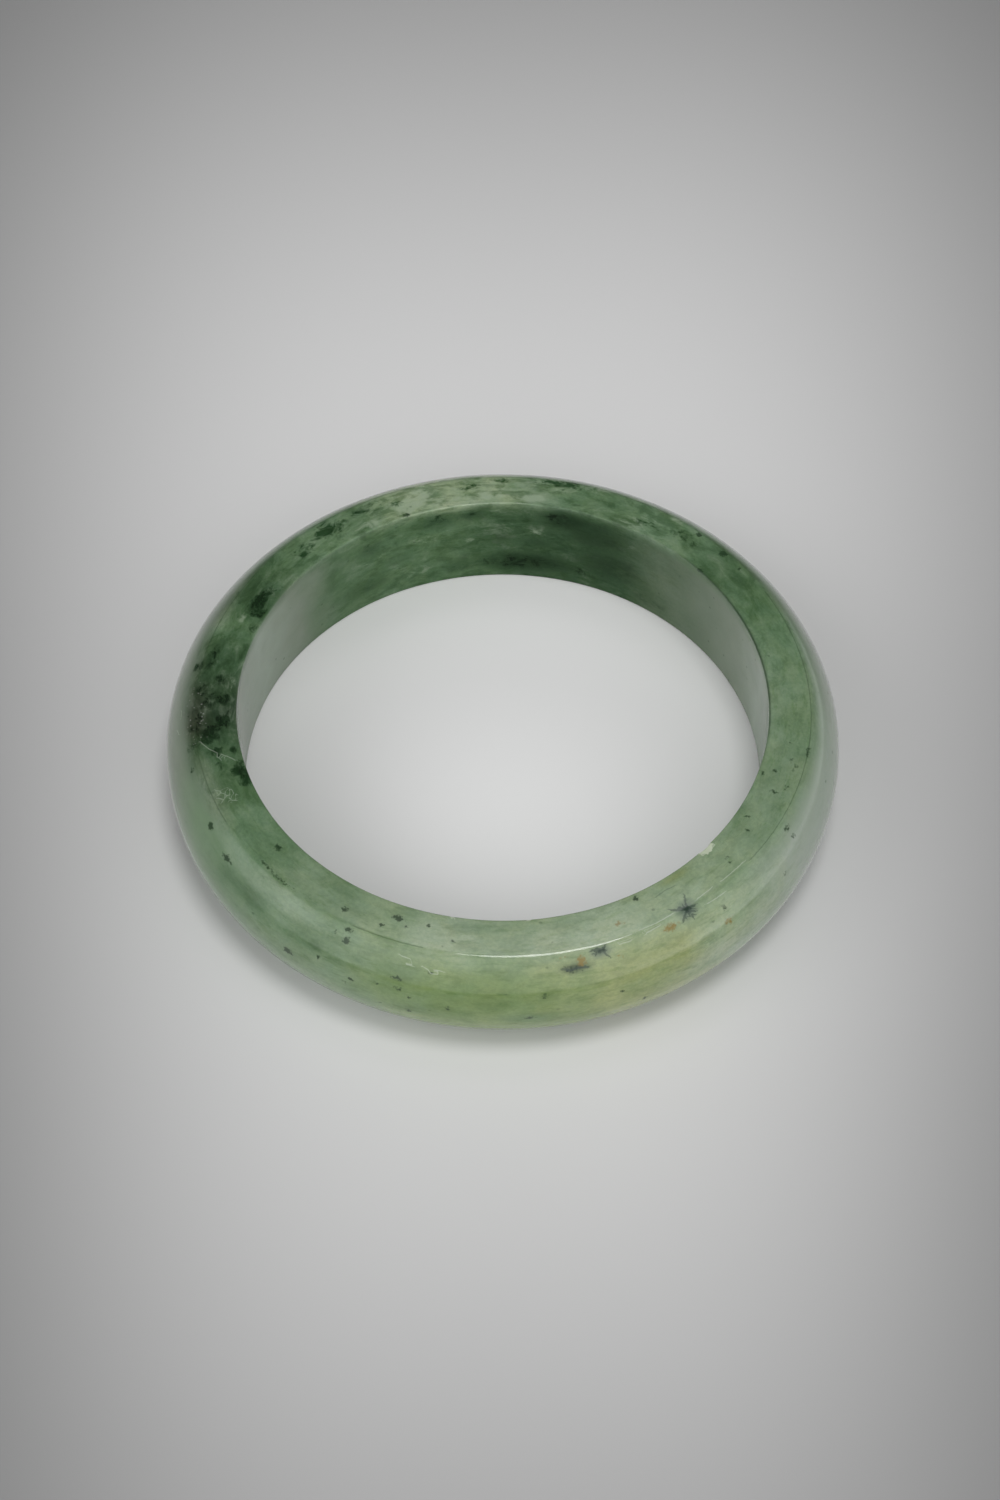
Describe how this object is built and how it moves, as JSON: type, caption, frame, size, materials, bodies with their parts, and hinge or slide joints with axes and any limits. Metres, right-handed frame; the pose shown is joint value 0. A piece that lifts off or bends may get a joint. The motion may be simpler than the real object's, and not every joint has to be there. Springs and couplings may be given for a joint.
{
  "type": "bangle bracelet",
  "caption": "Rigid closed bangle of polished green nephrite jade with a straight round wrist hole, flat end lands and a domed outer side.",
  "frame": {"origin": "on the bangle's axis, in the plane of its lower end face, which it rests on", "axes": "+Z along the wrist hole's axis, up from the lower end face; +X and +Y across the hole, with -Y towards the pale green, yellow-stained stretch of the stone"},
  "size_m": [0.074, 0.074, 0.0124],
  "materials": {
    "jade": "polished nephrite, mottled green with cream clouds, dark green patches, black specks and ochre stains"
  },
  "bodies": {
    "root": {"jade_ring": "jade"}
  },
  "joints": []
}
